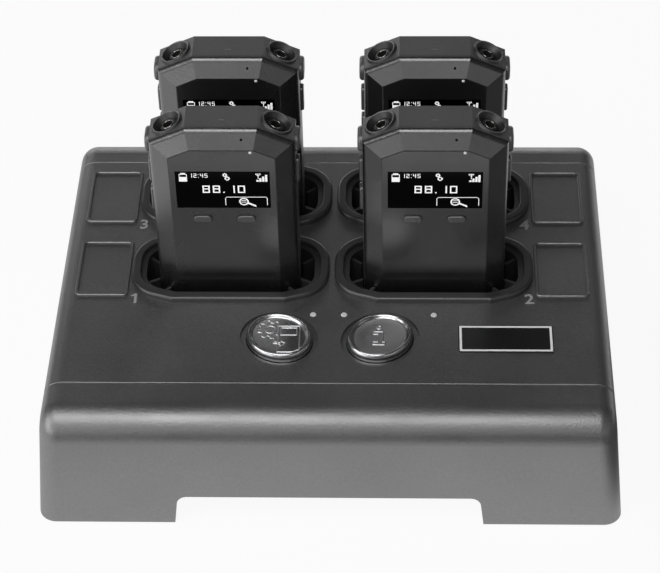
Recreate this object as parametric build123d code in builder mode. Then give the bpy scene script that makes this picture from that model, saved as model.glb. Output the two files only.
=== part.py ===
from build123d import *
import os
from math import asin, degrees, hypot, radians, tan

# Docking station for four hand-held receivers, with two push buttons on its front deck.
# Millimetres. The origin is on the floor under the middle of the station.
# X points right, Y away from the user and Z up.

os.makedirs("parts", exist_ok=True)

# Receiver, a slim handset that stands upright in its cradle
receiver_width = 54.0
receiver_depth = 20.0
receiver_height = 90.5
seat_depth = 16.0
crown_half = 13.45
shoulder_slope = 24.8
heel_half = 21.0
heel_slope = 40.0
face_bevel_width = 7.2
face_bevel_depth = 4.0
back_bevel = 2.4
receiver_edge_round = 0.9
bevel_round = 3.0
receiver_wall = 1.8
skirt_depth = 0.8
receiver_seam_gap = 0.1

# Display and the keys on the receiver
display_width = 35.0
display_height = 17.5
display_drop = 17.1
display_recess = 0.2
display_gap = 0.1
module_border = 1.5
module_thickness = 1.7
key_length = 6.9
key_height = 2.9
key_spacing = 16.4
key_drop = 5.25
key_proud = 0.8
key_travel = 0.6
key_gap = 0.15
key_flange = 0.7
key_flange_thickness = 0.8
key_stem_radius = 1.0
stem_gap = 0.2
side_key_length = 11.1
side_key_width = 4.6
side_key_proud = 1.3
side_key_y = 1.2
side_key_drop = 24.3
side_key_pitch = 13.8
side_key_corner = 1.4

# Headphone sockets on the receiver's shoulders
jack_ring_radius = 6.3
jack_ring_height = 0.9
jack_lip = 0.9
jack_dish_depth = 1.7
jack_bush_radius = 3.0
jack_hole_radius = 1.8
jack_barrel_radius = 4.9
jack_length = 13.5
jack_gap = 0.1
jack_end_wall = 1.0

# Lanyard lugs on the receiver's upper corners
lug_height = 7.8
lug_depth = 9.6
lug_proud = 1.8
lug_drop = 6.4
lug_round = 3.2
lug_end_round = 1.2

# Board and battery inside the receiver
receiver_board_width = 44.0
receiver_board_height = 66.0
receiver_board_thickness = 1.6
battery_width = 40.0
battery_height = 50.0
battery_thickness = 8.0
battery_tape = 0.2
jack_board_gap = 0.5
pack_lift = 3.0

# Cradles, cups with a raised rim and guide fins
rim_side_reach = 11.35
rim_front_reach = 9.35
rim_flat_half = 21.65
rim_slope = 18.2
rim_corner_radius = 14.3
rim_height = 2.3
rim_width = 3.6
rim_round = 1.2
rim_inner_round = 0.5
ledge_width = 2.1
ledge_height = 0.4
cup_wall = 1.5
cup_floor = 2.0
cup_gap = 0.2
cradle_gap_x = 2.1
cradle_gap_y = 4.3
fin_thickness = 1.2
fin_drop = 1.5
fin_gap = 0.4
fin_length = 12.0
rear_fin_y = 8.6
rear_fin_turn = 39.0
front_fin_y = 6.8
front_fin_turn = 27.5
nose_fin_inset = 3.1
nose_fin_y = 9.9
nose_fin_turn = 51.5

# Charging contacts under each cradle
contact_pitch = 3.0
contact_count = 4
pin_radius = 0.6
pin_gap = 0.05
contact_nose_length = 14.0
contact_nose_width = 4.0
contact_nose_drop = 0.3
contact_nose_gap = 0.2
contact_block_length = 18.0
contact_block_width = 8.0
contact_block_height = 5.0
pin_tail = 1.0

# Deck layout, from the front seam to the rear seam
button_margin = 24.0
button_row_gap = 19.6
rear_row_margin = 2.45
button_spacing = 38.0
lamp_row_gap = 13.2
lamp_radius = 1.25
lamp_gap = 0.1
lamp_proud = 0.15
lamp_flange = 0.9
lamp_flange_thickness = 1.2
lamp_offsets = (12.4, 13.8, 20.3)
label_width = 20.5
label_depth = 31.5
label_corner = 2.0
label_border = 1.2
label_height = 0.7
label_edge = 0.25
label_gap = 0.65
label_side_margin = 6.4
badge_width = 35.5
badge_depth = 14.3
badge_corner = 1.0
badge_thickness = 0.8
badge_recess = 0.5
badge_gap = 0.1
badge_side_margin = 21.3

# Push buttons, tilted ovals
button_half_long = 12.9
button_half_short = 11.4
button_turn = 35.0
button_gap = 0.3
button_trough = 2.1
button_trough_depth = 1.2
button_rise = 2.4
button_flange = 1.3
button_flange_thickness = 1.7
button_travel = 1.5
button_stem_radius = 1.3
switch_size = 6.0
switch_height = 4.5
switch_well_depth = 2.2
switch_gap = 0.1
stop_gap = 0.1

# Casing: front cap, saddle-shaped cover and rear cap
top_height = 52.5
casing_wall = 2.5
end_draft = 2.0
side_draft = 5.2
floor_gap = 0.8
front_edge_radius = 11.3
side_edge_radius = 7.0
front_cap_depth = 20.75
rear_cap_depth = 17.0
casing_seam_gap = 0.2
seam_round = 0.4
passage_width = 117.0
passage_height = 13.6
passage_corner = 4.0
passage_slant = 2.0

# Base plate with legs and feet
plate_height = 15.2
plate_thickness = 2.5
plate_gap = 0.3
leg_radius = 9.5
leg_inset_x = 19.0
leg_inset_y = 18.5
foot_radius = 8.0
foot_thickness = 2.2
foot_round = 0.6
foot_gap = 0.1

# Screws and their posts
post_radius = 3.5
post_edge = 12.5
cap_post_margin = 35.0
cap_post_setback = 10.5
cover_post_setback = 17.0
screw_radius = 1.5
screw_gap = 0.1
screw_length = 10.0
screw_head_radius = 2.7
screw_head_height = 1.8
screw_socket = 1.2
pilot_depth = 9.0
board_screw_radius = 1.1
board_screw_length = 5.0
board_screw_head_radius = 2.0
board_screw_head_height = 1.2
board_pilot_depth = 5.0

# Main board behind the buttons
board_drop = 12.5
board_thickness = 1.6
board_width = 120.0
board_front_gap = 5.0
board_cup_gap = 3.5
board_post_inset = 4.0
board_post_radius = 2.6

# Power socket at the back
socket_width = 8.94
socket_height = 3.16
socket_depth = 7.35
socket_skin = 0.3
socket_cavity = 6.2
socket_tongue_width = 6.7
socket_tongue_height = 0.7
socket_tongue_length = 4.6
socket_gap = 0.12
socket_recess = 0.3
socket_level = 28.0
shelf_width = 14.0
shelf_thickness = 2.0

# Places worked out from the sizes above
receiver_half = receiver_width / 2
receiver_bottom = top_height - seat_depth
receiver_top = receiver_bottom + receiver_height
receiver_front = -receiver_depth / 2
receiver_back = receiver_depth / 2
receiver_seam = receiver_front + face_bevel_depth + skirt_depth
shoulder_low = receiver_top - (receiver_half - crown_half) * tan(radians(shoulder_slope))
display_top = receiver_top - display_drop
display_level = display_top - display_height / 2
key_level = display_top - display_height - key_drop
inner_face = receiver_front + receiver_wall
battery_front = receiver_back - receiver_wall - battery_thickness
board_front = battery_front - battery_tape - receiver_board_thickness
side_key_level = receiver_top - side_key_drop
jack_y = (receiver_seam + receiver_back - back_bevel) / 2
jack_x = (crown_half + receiver_half) / 2
jack_z = (receiver_top + shoulder_low) / 2

rim_half_width = receiver_half + rim_side_reach
rim_half_depth = receiver_depth / 2 + rim_front_reach
cup_inset = rim_width + ledge_width - cup_wall
pocket_inset = rim_width + ledge_width
cradle_pitch_x = 2 * rim_half_width + cradle_gap_x
cradle_pitch_y = 2 * rim_half_depth + cradle_gap_y
cup_underside = receiver_bottom - cup_floor

cover_length = button_margin + button_row_gap + 4 * rim_half_depth + cradle_gap_y + rear_row_margin
top_depth = front_cap_depth + cover_length + rear_cap_depth
front_seam = -top_depth / 2 + front_cap_depth
rear_seam = top_depth / 2 - rear_cap_depth
button_row = front_seam + button_margin
front_row = button_row + button_row_gap + rim_half_depth
rear_row = front_row + cradle_pitch_y
lamp_row = button_row + lamp_row_gap
label_x = cradle_pitch_x / 2 + rim_half_width + label_gap + label_width / 2
top_width = 2 * (label_x + label_width / 2 + label_side_margin)
deck_underside = top_height - casing_wall
plate_top = plate_height + plate_thickness
board_top = top_height - board_drop
trough_floor = top_height - button_trough_depth

cradle_places = [
    (-cradle_pitch_x / 2, front_row, 0),
    (cradle_pitch_x / 2, front_row, 0),
    (-cradle_pitch_x / 2, rear_row, 0),
    (cradle_pitch_x / 2, rear_row, 0),
]
label_places = [(side * label_x, row) for side in (-1, 1) for row in (front_row, rear_row)]
lamp_places = [
    (-button_spacing / 2 + lamp_offsets[0], lamp_row),
    (button_spacing / 2 - lamp_offsets[1], lamp_row),
    (button_spacing / 2 + lamp_offsets[2], lamp_row),
]
button_places = [(-button_spacing / 2, -button_turn), (button_spacing / 2, button_turn)]
badge_place = (top_width / 2 - badge_side_margin - badge_width / 2, button_row)
cap_post_x = top_width / 2 - cap_post_margin
cover_post_x = top_width / 2 - post_edge
post_places = [
    (side * x, y)
    for side in (-1, 1)
    for x, y in (
        (cap_post_x, front_seam - cap_post_setback),
        (cover_post_x, front_seam + cover_post_setback),
        (cover_post_x, rear_seam - cover_post_setback),
        (cap_post_x, rear_seam + cap_post_setback - post_radius / 2),
    )
]
board_front_edge = front_seam + board_front_gap
board_back_edge = front_row - rim_half_depth + cup_inset - board_cup_gap
board_depth = board_back_edge - board_front_edge
board_middle = (board_front_edge + board_back_edge) / 2
board_post_places = [
    (side * (board_width / 2 - board_post_inset), y)
    for side in (-1, 1)
    for y in (board_front_edge + board_post_inset, board_back_edge - board_post_inset)
]
leg_places = [
    (side_x * (top_width / 2 - leg_inset_x), side_y * (top_depth / 2 - leg_inset_y))
    for side_x in (-1, 1)
    for side_y in (-1, 1)
]
upright = (Align.CENTER, Align.CENTER, Align.MIN)
hanging = (Align.CENTER, Align.CENTER, Align.MAX)


def keep(piece, name):
    """Label a finished piece and write it."""
    piece.part.label = name
    export_step(piece.part, f"parts/{name}.step")


def raised(places, height):
    """The same plan places at one height."""
    return [(x, y, height) for x, y in places]


def draft_spread(height, draft):
    """How far a drafted wall stands outside the deck's outline at this height."""
    return (top_height - height) * tan(radians(draft))


def clipped_outline(half_width, low, high, flats, slopes, inset):
    """A box outline with clipped corners, pulled in by inset. Flats and slopes are given low, then high."""
    points = []
    for level, flat, slope, way in ((low, flats[0], slopes[0], 1), (high, flats[1], slopes[1], -1)):
        clip = (half_width - flat) * tan(radians(slope))
        flat_point = (flat - inset * tan(radians(slope / 2)), level + way * inset)
        side_point = (half_width - inset, level + way * (clip + inset * tan(radians((90 - slope) / 2))))
        points += [flat_point, side_point] if way > 0 else [side_point, flat_point]
    return points + [(-x, y) for x, y in reversed(points)]


def receiver_section(inset):
    """The receiver's outline seen from the front, pulled in by inset."""
    return clipped_outline(
        receiver_half,
        receiver_bottom,
        receiver_top,
        (heel_half, crown_half),
        (heel_slope, shoulder_slope),
        inset,
    )


def receiver_form(inset):
    """The receiver's bevelled body, pulled in by inset on every side."""
    slant = hypot(face_bevel_width, face_bevel_depth)
    face_pull = inset * (slant - face_bevel_width) / face_bevel_depth
    side_pull = inset * (slant - face_bevel_depth) / face_bevel_width
    back_pull = inset * tan(radians(45 / 2))
    layers = (
        (receiver_front + inset, face_bevel_width + face_pull),
        (receiver_front + face_bevel_depth + side_pull, inset),
        (receiver_back - back_bevel - back_pull, inset),
        (receiver_back - inset, back_bevel + back_pull),
    )
    with BuildPart() as form:
        for level, pulled in layers:
            with BuildSketch(Plane.XZ.offset(-level)):
                with BuildLine():
                    Polyline(*receiver_section(pulled), close=True)
                make_face()
        loft(ruled=True)
    return form.part


def cradle_outline(inset):
    """The cradle rim's plan, pulled in by inset."""
    flats = (rim_flat_half, rim_flat_half)
    slopes = (rim_slope, rim_slope)
    with BuildSketch() as outline:
        with BuildLine():
            points = clipped_outline(rim_half_width, -rim_half_depth, rim_half_depth, flats, slopes, inset)
            Polyline(*points, close=True)
        make_face()
        sides = outline.vertices().group_by(Axis.X)
        fillet(sides[0] + sides[-1], rim_corner_radius - inset)
    return outline.sketch


def casing_form(inset, bottom):
    """The casing's drafted block, pulled in by inset, from the height bottom up."""
    crown = top_height - inset
    half_width = top_width / 2 - inset
    half_depth = top_depth / 2 - inset
    end_low = draft_spread(bottom, end_draft)
    end_high = draft_spread(crown, end_draft)
    side_low = draft_spread(bottom, side_draft)
    side_high = draft_spread(crown, side_draft)
    with BuildPart() as form:
        with BuildSketch(Plane.YZ) as side_view:
            with BuildLine():
                Polyline(
                    (-half_depth - end_low, bottom),
                    (half_depth + end_low, bottom),
                    (half_depth + end_high, crown),
                    (-half_depth - end_high, crown),
                    close=True,
                )
            make_face()
            fillet(side_view.vertices().group_by(Axis.Y)[-1], front_edge_radius - inset)
        extrude(amount=half_width + side_low, both=True)
        with BuildSketch(Plane.XZ):
            with BuildLine():
                Polyline(
                    (-half_width - side_low, bottom),
                    (half_width + side_low, bottom),
                    (half_width + side_high, crown),
                    (-half_width - side_high, crown),
                    close=True,
                )
            make_face()
        extrude(amount=half_depth + end_low, both=True, mode=Mode.INTERSECT)
        walls = form.faces().sort_by(Axis.X)
        rims = walls[0].edges().sort_by(Axis.Z)[1:] + walls[-1].edges().sort_by(Axis.Z)[1:]
        fillet(rims, side_edge_radius - inset)
    return form.part


def screw(shank_radius, length, head_radius, head_height):
    """A screw with its head below the origin and its shank above it."""
    with BuildPart() as body:
        Cylinder(head_radius, head_height, align=hanging)
        Cylinder(shank_radius, length, align=upright)
        with BuildSketch(Plane.XY.offset(-head_height)):
            RegularPolygon(screw_socket * head_radius / screw_head_radius, 6)
        extrude(amount=head_height / 2, mode=Mode.SUBTRACT)
    return body.part


# Space inside the casing: everything but the screw posts and the socket's shelf
socket_wall_y = top_depth / 2 + draft_spread(socket_level, end_draft)
shelf_depth = socket_depth + socket_recess
with BuildPart() as casing_space:
    add(casing_form(casing_wall, floor_gap - casing_wall))
    with Locations(*raised(post_places, plate_top)):
        Cylinder(post_radius, top_height, align=upright, mode=Mode.SUBTRACT)
        Cylinder(screw_radius + screw_gap, pilot_depth, align=upright)
    with Locations(*raised(board_post_places, board_top)):
        Cylinder(board_post_radius, top_height, align=upright, mode=Mode.SUBTRACT)
        Cylinder(board_screw_radius + screw_gap, board_pilot_depth, align=upright)
    with Locations((0, socket_wall_y, socket_level)):
        Box(
            shelf_width,
            shelf_depth,
            shelf_thickness,
            align=(Align.CENTER, Align.MAX, Align.MAX),
            mode=Mode.SUBTRACT,
        )

# Whole casing block, before it is cut at the seams
casing_block = casing_form(0, floor_gap)

# Front end cap: front wall with the passage along its foot
with BuildPart() as front_end_cap:
    add(casing_block)
    split(bisect_by=Plane.XZ.offset(casing_seam_gap / 2 - front_seam), keep=Keep.TOP)
    fillet(front_end_cap.faces().sort_by(Axis.Y)[-1].edges().sort_by(Axis.Z)[1:], seam_round)
    add(casing_space.part, mode=Mode.SUBTRACT)
    with BuildSketch(Plane.XZ) as passage:
        with BuildLine():
            Polyline(
                (-passage_width / 2, floor_gap - passage_corner),
                (passage_width / 2, floor_gap - passage_corner),
                (passage_width / 2 - passage_slant, floor_gap + passage_height),
                (passage_slant - passage_width / 2, floor_gap + passage_height),
                close=True,
            )
        make_face()
        fillet(passage.vertices().group_by(Axis.Y)[-1], passage_corner)
    extrude(amount=top_depth, mode=Mode.SUBTRACT)
keep(front_end_cap, "front_end_cap")

# Rear end cap: rear wall with the power socket's slot
socket_middle = socket_level + socket_height / 2
with BuildPart() as rear_end_cap:
    add(casing_block)
    split(bisect_by=Plane.XZ.offset(-rear_seam - casing_seam_gap / 2), keep=Keep.BOTTOM)
    fillet(rear_end_cap.faces().sort_by(Axis.Y)[0].edges().sort_by(Axis.Z)[1:], seam_round)
    add(casing_space.part, mode=Mode.SUBTRACT)
    with BuildSketch(Plane.XZ):
        with Locations((0, socket_middle)):
            SlotOverall(socket_width + 2 * socket_gap, socket_height + 2 * socket_gap)
    extrude(amount=-top_depth, mode=Mode.SUBTRACT)
keep(rear_end_cap, "rear_end_cap")

# Center cover: deck and side walls, with openings for cradles, buttons, lamps and badge
with BuildPart() as center_cover:
    add(casing_block)
    split(bisect_by=Plane.XZ.offset(-front_seam - casing_seam_gap / 2), keep=Keep.BOTTOM)
    split(bisect_by=Plane.XZ.offset(casing_seam_gap / 2 - rear_seam), keep=Keep.TOP)
    seam_faces = center_cover.faces().sort_by(Axis.Y)
    fillet(seam_faces[0].edges().sort_by(Axis.Z)[1:] + seam_faces[-1].edges().sort_by(Axis.Z)[1:], seam_round)
    add(casing_space.part, mode=Mode.SUBTRACT)
    with BuildSketch(Plane.XY.offset(deck_underside)):
        with Locations(*cradle_places):
            add(cradle_outline(cup_inset - cup_gap))
    extrude(amount=casing_wall, mode=Mode.SUBTRACT)
    with BuildSketch(Plane.XY.offset(trough_floor)):
        for button_x, turn in button_places:
            with Locations((button_x, button_row)):
                Ellipse(button_half_long + button_gap + button_trough,
                        button_half_short + button_gap + button_trough, rotation=turn)
    extrude(amount=button_trough_depth, mode=Mode.SUBTRACT)
    with BuildSketch(Plane.XY.offset(deck_underside)):
        for button_x, turn in button_places:
            with Locations((button_x, button_row)):
                Ellipse(button_half_long + button_gap, button_half_short + button_gap, rotation=turn)
        with Locations(*lamp_places):
            Circle(lamp_radius + lamp_gap)
    extrude(amount=casing_wall, mode=Mode.SUBTRACT)
    with BuildSketch(Plane.XY.offset(top_height - badge_recess)):
        with Locations(badge_place):
            RectangleRounded(
                badge_width + 2 * badge_gap,
                badge_depth + 2 * badge_gap,
                badge_corner + badge_gap,
            )
    extrude(amount=badge_recess, mode=Mode.SUBTRACT)
    with BuildSketch(Plane.XY.offset(top_height)):
        with Locations(*label_places):
            RectangleRounded(label_width, label_depth, label_corner)
            RectangleRounded(
                label_width - 2 * label_border,
                label_depth - 2 * label_border,
                label_corner - label_border / 2,
                mode=Mode.SUBTRACT,
            )
    extrude(amount=label_height)
    chamfer(center_cover.edges().group_by(Axis.Z)[-1], label_edge)
keep(center_cover, "center_cover")

# Base plate: closes the casing above the passage and carries the legs
plate_form = casing_form(casing_wall + plate_gap, floor_gap)
with BuildPart() as base_plate:
    add(plate_form)
    split(bisect_by=Plane.XY.offset(plate_height), keep=Keep.TOP)
    split(bisect_by=Plane.XY.offset(plate_top), keep=Keep.BOTTOM)
    with Locations(*raised(leg_places, plate_height)):
        Cylinder(leg_radius, plate_height - floor_gap, align=hanging)
    with Locations(*raised(leg_places, foot_thickness)):
        Cylinder(foot_radius + foot_gap, foot_thickness, align=hanging, mode=Mode.SUBTRACT)
    with Locations(*raised(post_places, plate_height)):
        Cylinder(screw_radius + screw_gap, plate_thickness, align=upright, mode=Mode.SUBTRACT)
keep(base_plate, "base_plate")

# Rubber feet, pressed into the legs
with BuildPart() as foot:
    Cylinder(foot_radius, foot_thickness, align=upright)
    fillet(foot.edges().group_by(Axis.Z)[0], foot_round)
with BuildPart() as rubber_feet:
    with Locations(*raised(leg_places, 0)):
        add(foot.part)
keep(rubber_feet, "rubber_feet")

# Screws that hold the casing to the base plate, from below
case_screw = screw(screw_radius, screw_length, screw_head_radius, screw_head_height)
with BuildPart() as case_screws:
    with Locations(*raised(post_places, plate_height)):
        add(case_screw)
keep(case_screws, "case_screws")

# Main board under the deck, below the buttons and the lamps
with BuildPart() as main_board:
    with Locations((0, board_middle, board_top)):
        Box(board_width, board_depth, board_thickness, align=hanging)
    with Locations(*raised(board_post_places, board_top)):
        Cylinder(board_screw_radius + screw_gap, board_thickness, align=hanging, mode=Mode.SUBTRACT)
keep(main_board, "main_board")

# Screws that hold the main board to the deck's posts
board_screw = screw(board_screw_radius, board_screw_length, board_screw_head_radius, board_screw_head_height)
with BuildPart() as board_screws:
    with Locations(*raised(board_post_places, board_top - board_thickness)):
        add(board_screw)
keep(board_screws, "board_screws")

# Switches on the board, each with a well for its button's stem
with BuildPart() as button_switches:
    for button_x, turn in button_places:
        with Locations((button_x, button_row, board_top)):
            Box(switch_size, switch_size, switch_height, align=upright)
        with Locations((button_x, button_row, board_top + switch_height)):
            Cylinder(
                button_stem_radius + switch_gap, switch_well_depth, align=hanging, mode=Mode.SUBTRACT
            )
keep(button_switches, "button_switches")

# Light pipes between the board's lamps and the deck
with BuildPart() as light_pipe:
    with Locations((0, 0, board_top)):
        Cylinder(lamp_radius, board_drop + lamp_proud, align=upright)
    fillet(light_pipe.edges().group_by(Axis.Z)[-1], lamp_radius / 3)
    with Locations((0, 0, deck_underside)):
        Cylinder(lamp_radius + lamp_flange, lamp_flange_thickness, align=hanging)
with BuildPart() as light_pipes:
    with Locations(*raised(lamp_places, 0)):
        add(light_pipe.part)
keep(light_pipes, "light_pipes")

# Badge plate, bare, glued into its recess
with BuildPart() as badge_plate:
    with BuildSketch(Plane.XY.offset(top_height - badge_recess)):
        with Locations(badge_place):
            RectangleRounded(badge_width, badge_depth, badge_corner)
    extrude(amount=badge_thickness)
keep(badge_plate, "badge_plate")

# Power socket on its shelf, behind the rear wall
with BuildPart() as power_socket:
    with BuildSketch(Plane.XZ.offset(socket_recess - socket_wall_y)):
        with Locations((0, socket_middle)):
            SlotOverall(socket_width, socket_height)
    extrude(amount=socket_depth)
    with BuildSketch(Plane.XZ.offset(socket_recess - socket_wall_y)):
        with Locations((0, socket_middle)):
            SlotOverall(socket_width - 2 * socket_skin, socket_height - 2 * socket_skin)
    extrude(amount=socket_cavity, mode=Mode.SUBTRACT)
    with Locations((0, socket_wall_y - socket_recess - socket_cavity, socket_middle)):
        Box(
            socket_tongue_width,
            socket_tongue_length,
            socket_tongue_height,
            align=(Align.CENTER, Align.MIN, Align.CENTER),
        )
keep(power_socket, "power_socket")

# Push buttons: glossy domed ovals with a flange under the deck and a stem down to the switch
stem_bottom = board_top + switch_height - switch_well_depth + button_travel + stop_gap
dome_radius = (button_half_long ** 2 + button_rise ** 2) / (2 * button_rise)
dome_angle = degrees(asin(button_half_long / dome_radius))
dome_top = top_height + button_rise
flange_top = deck_underside - stop_gap
with BuildPart() as round_button:
    with BuildSketch(Plane.XZ):
        with BuildLine():
            Polyline(
                (0, stem_bottom),
                (button_stem_radius, stem_bottom),
                (button_stem_radius, flange_top - button_flange_thickness),
                (button_half_long + button_flange, flange_top - button_flange_thickness),
                (button_half_long + button_flange, flange_top),
                (button_half_long, flange_top),
                (button_half_long, top_height),
            )
            CenterArc((0, dome_top - dome_radius), dome_radius, 90 - dome_angle, dome_angle)
            Line((0, dome_top), (0, stem_bottom))
        make_face()
    revolve(axis=Axis.Z)
oval_shape = scale(round_button.part, by=(1, button_half_short / button_half_long, 1), mode=Mode.PRIVATE)
for name, (button_x, turn) in zip(("config_button", "info_button"), button_places):
    with BuildPart() as push_button:
        with Locations(Location((button_x, button_row, 0), (0, 0, turn))):
            add(oval_shape)
    keep(push_button, name)

# Cradle: flange with a raised rim on the deck, a cup through it and fins that guide the receiver
pocket_half_width = rim_half_width - pocket_inset
fin_lines = (
    (-pocket_half_width, rear_fin_y, -rear_fin_turn),
    (-pocket_half_width, -front_fin_y, front_fin_turn),
    (nose_fin_inset - receiver_half, -nose_fin_y, nose_fin_turn),
)
with BuildPart() as fins:
    with BuildSketch(Plane.XY.offset(receiver_bottom)):
        for fin_x, fin_y, turn in fin_lines:
            with Locations(Location((fin_x, fin_y), turn), Location((-fin_x, fin_y), 180 - turn)):
                Rectangle(fin_length, fin_thickness)
        add(cradle_outline(pocket_inset - cup_wall / 2), mode=Mode.INTERSECT)
    extrude(amount=seat_depth - fin_drop)
    add(receiver_form(-fin_gap), mode=Mode.SUBTRACT)
with BuildPart() as cradle:
    with BuildSketch(Plane.XY.offset(top_height)):
        add(cradle_outline(0))
    extrude(amount=rim_height)
    fillet(cradle.edges().group_by(Axis.Z)[-1], rim_round)
    with BuildSketch(Plane.XY.offset(cup_underside)):
        add(cradle_outline(cup_inset))
    extrude(amount=top_height - cup_underside)
    with BuildSketch(Plane.XY.offset(top_height + ledge_height)):
        add(cradle_outline(rim_width))
    extrude(amount=rim_height, mode=Mode.SUBTRACT)
    fillet(cradle.faces().sort_by(Axis.Z)[-1].inner_wires()[0].edges(), rim_inner_round)
    with BuildSketch(Plane.XY.offset(receiver_bottom)):
        add(cradle_outline(pocket_inset))
    extrude(amount=seat_depth + rim_height, mode=Mode.SUBTRACT)
    add(fins.part)
    with Locations((0, 0, cup_underside)):
        Box(
            contact_nose_length + 2 * contact_nose_gap,
            contact_nose_width + 2 * contact_nose_gap,
            cup_floor,
            align=upright,
            mode=Mode.SUBTRACT,
        )
for number, place in enumerate(cradle_places, start=1):
    with BuildPart() as placed_cradle:
        with Locations(place):
            add(cradle.part)
    keep(placed_cradle, f"cradle_{number}")

# Contact blocks under the cradles, with a nose up through the cup's floor
with BuildPart() as contact_block:
    with Locations((0, 0, cup_underside)):
        Box(contact_block_length, contact_block_width, contact_block_height, align=hanging)
        Box(contact_nose_length, contact_nose_width, cup_floor - contact_nose_drop, align=upright)
    with GridLocations(contact_pitch, contact_pitch, contact_count, 1):
        Cylinder(pin_radius + pin_gap, receiver_top, align=upright, mode=Mode.SUBTRACT)
with BuildPart() as contact_blocks:
    with Locations(*cradle_places):
        add(contact_block.part)
keep(contact_blocks, "contact_blocks")

# Contact pins that touch the receivers from below
pin_bottom = cup_underside - contact_block_height - pin_tail
with BuildPart() as contact_pins:
    for place_x, place_y, _ in cradle_places:
        with Locations((place_x, place_y, pin_bottom)):
            with GridLocations(contact_pitch, contact_pitch, contact_count, 1):
                Cylinder(pin_radius, receiver_bottom - pin_bottom, align=upright)
keep(contact_pins, "contact_pins")

# Receiver shells are cut from one rounded body at the seam behind the bevelled face
with BuildPart() as receiver_body:
    add(receiver_form(0))
    bevel_edge = receiver_front + face_bevel_depth
    fillet(receiver_body.edges().filter_by_position(Axis.Y, bevel_edge, bevel_edge), bevel_round)
    fillet(receiver_body.faces().sort_by(Axis.Y)[0].edges(), receiver_edge_round)
    fillet(receiver_body.faces().sort_by(Axis.Y)[-1].edges(), receiver_edge_round)
receiver_space = receiver_form(receiver_wall)

# Front shell: bevelled face with the display window and two key slots
key_places = [(-key_spacing / 2, key_level), (key_spacing / 2, key_level)]
with BuildPart() as front_shell:
    add(receiver_body.part)
    split(bisect_by=Plane.XZ.offset(receiver_seam_gap / 2 - receiver_seam), keep=Keep.TOP)
    add(receiver_space, mode=Mode.SUBTRACT)
    with BuildSketch(Plane.XZ):
        with Locations((0, display_level)):
            Rectangle(display_width + 2 * display_gap, display_height + 2 * display_gap)
        with Locations(*key_places):
            SlotOverall(key_length + 2 * key_gap, key_height + 2 * key_gap)
    extrude(amount=receiver_depth, mode=Mode.SUBTRACT)

# Display: glass in the window and its wider module behind the face
with BuildPart() as display:
    with BuildSketch(Plane.XZ.offset(-receiver_front - display_recess)):
        with Locations((0, display_level)):
            Rectangle(display_width, display_height)
    extrude(amount=display_recess - receiver_wall)
    with BuildSketch(Plane.XZ.offset(-inner_face)):
        with Locations((0, display_level)):
            Rectangle(display_width + 2 * module_border, display_height + 2 * module_border)
    extrude(amount=-module_thickness)

# Soft key: capsule through the face, with a flange and a stem behind it
with BuildPart() as soft_key:
    with BuildSketch(Plane.XZ.offset(-receiver_front + key_proud)):
        SlotOverall(key_length, key_height)
    extrude(amount=-key_proud - receiver_wall)
    fillet(soft_key.edges().group_by(Axis.Y)[0], key_proud / 2)
    with BuildSketch(Plane.XZ.offset(-inner_face)):
        SlotOverall(key_length + 2 * key_flange, key_height + 2 * key_flange)
    extrude(amount=-key_flange_thickness)
    with BuildSketch(Plane.XZ.offset(-inner_face - key_flange_thickness)):
        Circle(key_stem_radius)
    extrude(amount=inner_face + key_flange_thickness - board_front + key_travel + stem_gap)

# Side key: rounded bar through the side wall, with a flange inside
inner_side = receiver_half - receiver_wall
with BuildPart() as side_key:
    with BuildSketch(Plane.YZ.offset(inner_side)):
        with Locations((side_key_y, 0)):
            RectangleRounded(side_key_width, side_key_length, side_key_corner)
    extrude(amount=receiver_wall + side_key_proud)
    fillet(side_key.edges().group_by(Axis.X)[-1], side_key_proud / 2)
    with BuildSketch(Plane.YZ.offset(inner_side)):
        with Locations((side_key_y, 0)):
            Rectangle(side_key_width + 2 * key_flange, side_key_length + 2 * key_flange)
    extrude(amount=-key_flange_thickness)

# Headphone socket: dished ring on the shoulder and a threaded-looking bush around the plug's hole
with BuildPart() as jack_socket:
    with BuildSketch(Plane.XZ):
        with BuildLine():
            Polyline(
                (0, -jack_length),
                (jack_barrel_radius, -jack_length),
                (jack_barrel_radius, 0),
                (jack_ring_radius, 0),
                (jack_ring_radius - jack_lip / 2, jack_ring_height),
                (jack_ring_radius - jack_lip, jack_ring_height),
                (jack_bush_radius + jack_lip, -jack_dish_depth),
                (jack_bush_radius, -jack_dish_depth),
                (jack_bush_radius, -jack_dish_depth / 3),
                (0, -jack_dish_depth / 3),
                close=True,
            )
        make_face()
    revolve(axis=Axis.Z)
    with Locations((0, 0, jack_end_wall - jack_length)):
        Cylinder(jack_hole_radius, jack_length, align=upright, mode=Mode.SUBTRACT)

jack_turns = [
    Location((side * jack_x, jack_y, jack_z), (0, side * shoulder_slope, 0)) for side in (-1, 1)
]
with BuildPart() as jack_sockets:
    with Locations(*jack_turns):
        add(jack_socket.part)

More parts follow.
